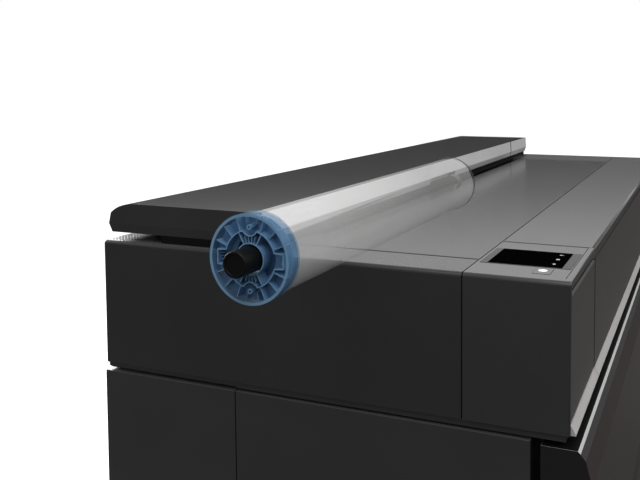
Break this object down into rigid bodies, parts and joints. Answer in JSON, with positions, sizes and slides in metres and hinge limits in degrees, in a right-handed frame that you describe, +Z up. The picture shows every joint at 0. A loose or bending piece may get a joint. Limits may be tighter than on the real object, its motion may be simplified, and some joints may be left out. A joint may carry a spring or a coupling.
{
  "type": "large format plotter",
  "caption": "Free-standing large format plotter: flat top with rear scanner and touch panel, drawers for paper rolls, and a loaded spindle resting on top.",
  "frame": {"origin": "centre of the bounding box, on the floor", "axes": "+Z up, X along the length with the touch panel end at -X, front faces -Y"},
  "size_m": [2.248, 0.925, 1.2233],
  "materials": {
    "casing_dark": "fine texture, satin",
    "deck_textured": "dotted texture, matte",
    "scanner_dark": "fine texture, satin",
    "cover_dark": "fine texture, satin",
    "sill_light": "satin",
    "chassis_steel": "powder coated",
    "bright_steel": "brushed",
    "black_plastic": "moulded, matte",
    "bezel_grey": "moulded, satin",
    "display_black": "polished",
    "key_grey": "moulded, satin",
    "hub_blue": "translucent",
    "paper_white": "coated, shown ghosted",
    "paper_loaded": "coated",
    "roller_rubber": "ground",
    "belt_rubber": "toothed",
    "wheel_tread": "smooth",
    "ink_black": "moulded",
    "ink_cyan": "moulded",
    "ink_magenta": "moulded",
    "ink_yellow": "moulded"
  },
  "bodies": {
    "chassis": {"chassis_frame": "chassis_steel", "leveling_feet": "bright_steel", "rear_caster_forks": "bright_steel", "left_rear_panel": "casing_dark", "left_side_panel": "casing_dark", "right_side_panel": "casing_dark", "back_panel": "casing_dark", "power_inlet": "black_plastic", "electronics_box": "chassis_steel", "drawer_slides": "bright_steel", "floor_pan": "casing_dark", "left_end_cover": "casing_dark", "right_end_cover": "casing_dark", "rear_cover": "casing_dark", "top_deck": "deck_textured", "corner_housing": "casing_dark", "display_bezel": "bezel_grey", "display_glass": "display_black", "front_sill": "sill_light", "ink_bay": "black_plastic", "right_corner_housing": "casing_dark", "mechanism_plates": "chassis_steel", "guide_rods": "bright_steel", "platen": "black_plastic", "service_station": "black_plastic", "drive_belt": "belt_rubber", "scanner_base": "black_plastic", "hinge_pins": "bright_steel"},
    "scanner": {"scanner_cover": "scanner_dark", "scanner_end_cap": "scanner_dark", "scanner_sensor_bar": "black_plastic"},
    "scanner_roller": {"scanner_roller": "roller_rubber"},
    "access_cover": {"access_cover": "cover_dark"},
    "ink_door": {"ink_door": "cover_dark"},
    "power_button": {"power_button": "key_grey"},
    "carriage": {"carriage": "black_plastic", "printheads": "black_plastic"},
    "drive_pulley": {"drive_pulley": "bright_steel"},
    "idler_pulley": {"idler_pulley": "bright_steel"},
    "feed_roller": {"feed_roller": "roller_rubber"},
    "pinch_rollers": {"pinch_rollers": "roller_rubber"},
    "upper_drawer": {"upper_drawer_front": "cover_dark", "upper_drawer_tray": "chassis_steel"},
    "lower_drawer": {"lower_drawer_front": "cover_dark", "lower_drawer_tray": "chassis_steel"},
    "lower_spool": {"lower_spindle": "black_plastic", "lower_paper_roll": "paper_loaded"},
    "resting_roll": {"resting_spindle": "black_plastic", "resting_hub": "hub_blue", "resting_paper_roll": "paper_white"},
    "front_left_caster": {"front_left_caster_fork": "bright_steel"},
    "front_left_wheel": {"front_left_caster_wheel": "wheel_tread"},
    "front_right_caster": {"front_right_caster_fork": "bright_steel"},
    "front_right_wheel": {"front_right_caster_wheel": "wheel_tread"},
    "rear_left_wheel": {"rear_left_caster_wheel": "wheel_tread"},
    "rear_right_wheel": {"rear_right_caster_wheel": "wheel_tread"},
    "ink_cartridge_1": {"ink_cartridge_1": "ink_black"},
    "ink_cartridge_2": {"ink_cartridge_2": "ink_cyan"},
    "ink_cartridge_3": {"ink_cartridge_3": "ink_magenta"},
    "ink_cartridge_4": {"ink_cartridge_4": "ink_yellow"}
  },
  "joints": [
    {"name": "scanner_hinge", "type": "hinge", "parent": "chassis", "child": "scanner", "pos_m": [0.144, 0.4305, 1.12], "axis": [-1, 0, 0], "range_deg": [0, 35]},
    {"name": "access_cover_hinge", "type": "hinge", "parent": "chassis", "child": "access_cover", "pos_m": [0.159, -0.263, 1.096], "axis": [-1, 0, 0], "range_deg": [0, 75]},
    {"name": "ink_door_hinge", "type": "hinge", "parent": "chassis", "child": "ink_door", "pos_m": [-0.8245, -0.4225, 0.98], "axis": [0, 0, -1], "range_deg": [0, 110]},
    {"name": "power_button_press", "type": "slide", "parent": "chassis", "child": "power_button", "axis": [0, 0, -1], "range_m": [0, 0.0015], "stiffness_N_per_m": 800, "springref_m": -0.001},
    {"name": "upper_drawer_slide", "type": "slide", "parent": "chassis", "child": "upper_drawer", "axis": [0, -1, 0], "range_m": [0, 0.45]},
    {"name": "lower_drawer_slide", "type": "slide", "parent": "chassis", "child": "lower_drawer", "axis": [0, -1, 0], "range_m": [0, 0.45]},
    {"name": "lower_spool_turn", "type": "hinge", "parent": "lower_drawer", "child": "lower_spool", "pos_m": [0.144, -0.0175, 0.255], "axis": [1, 0, 0], "continuous": true},
    {"name": "resting_roll_lift", "type": "slide", "parent": "chassis", "child": "resting_roll", "axis": [0, 0, 1], "range_m": [0, 0.25]},
    {"name": "carriage_travel", "type": "slide", "parent": "chassis", "child": "carriage", "axis": [1, 0, 0], "range_m": [0, 1.27]},
    {"name": "drive_pulley_turn", "type": "hinge", "parent": "chassis", "child": "drive_pulley", "pos_m": [-0.551, -0.2055, 1.071], "axis": [0, 1, 0], "continuous": true},
    {"name": "idler_pulley_turn", "type": "hinge", "parent": "chassis", "child": "idler_pulley", "pos_m": [0.875, -0.2055, 1.071], "axis": [0, 1, 0], "continuous": true},
    {"name": "feed_roller_turn", "type": "hinge", "parent": "chassis", "child": "feed_roller", "pos_m": [0.144, -0.3675, 0.915], "axis": [1, 0, 0], "continuous": true},
    {"name": "pinch_rollers_turn", "type": "hinge", "parent": "chassis", "child": "pinch_rollers", "pos_m": [0.144, -0.3675, 0.9373], "axis": [1, 0, 0], "continuous": true},
    {"name": "scanner_roller_turn", "type": "hinge", "parent": "chassis", "child": "scanner_roller", "pos_m": [0.144, 0.1625, 1.1078], "axis": [1, 0, 0], "continuous": true},
    {"name": "ink_cartridge_1_release", "type": "slide", "parent": "chassis", "child": "ink_cartridge_1", "axis": [0, -1, 0], "range_m": [0, 0.012]},
    {"name": "ink_cartridge_2_release", "type": "slide", "parent": "chassis", "child": "ink_cartridge_2", "axis": [0, -1, 0], "range_m": [0, 0.012]},
    {"name": "ink_cartridge_3_release", "type": "slide", "parent": "chassis", "child": "ink_cartridge_3", "axis": [0, -1, 0], "range_m": [0, 0.012]},
    {"name": "ink_cartridge_4_release", "type": "slide", "parent": "chassis", "child": "ink_cartridge_4", "axis": [0, -1, 0], "range_m": [0, 0.012]},
    {"name": "front_left_caster_swivel", "type": "hinge", "parent": "chassis", "child": "front_left_caster", "pos_m": [-0.746, -0.3175, 0.072], "axis": [0, 0, 1], "continuous": true},
    {"name": "front_left_wheel_roll", "type": "hinge", "parent": "front_left_caster", "child": "front_left_wheel", "pos_m": [-0.746, -0.3425, 0.0305], "axis": [1, 0, 0], "continuous": true},
    {"name": "rear_left_wheel_roll", "type": "hinge", "parent": "chassis", "child": "rear_left_wheel", "pos_m": [-0.746, 0.4025, 0.0305], "axis": [1, 0, 0], "continuous": true},
    {"name": "front_right_caster_swivel", "type": "hinge", "parent": "chassis", "child": "front_right_caster", "pos_m": [1.034, -0.3175, 0.072], "axis": [0, 0, 1], "continuous": true},
    {"name": "front_right_wheel_roll", "type": "hinge", "parent": "front_right_caster", "child": "front_right_wheel", "pos_m": [1.034, -0.3425, 0.0305], "axis": [1, 0, 0], "continuous": true},
    {"name": "rear_right_wheel_roll", "type": "hinge", "parent": "chassis", "child": "rear_right_wheel", "pos_m": [1.034, 0.4025, 0.0305], "axis": [1, 0, 0], "continuous": true}
  ],
  "couplings": [
    {"joint": "drive_pulley_turn", "follows": "carriage_travel", "rad_per_m": -76.923},
    {"joint": "idler_pulley_turn", "follows": "carriage_travel", "rad_per_m": -76.923},
    {"joint": "pinch_rollers_turn", "follows": "feed_roller_turn", "ratio": -1.75}
  ]
}
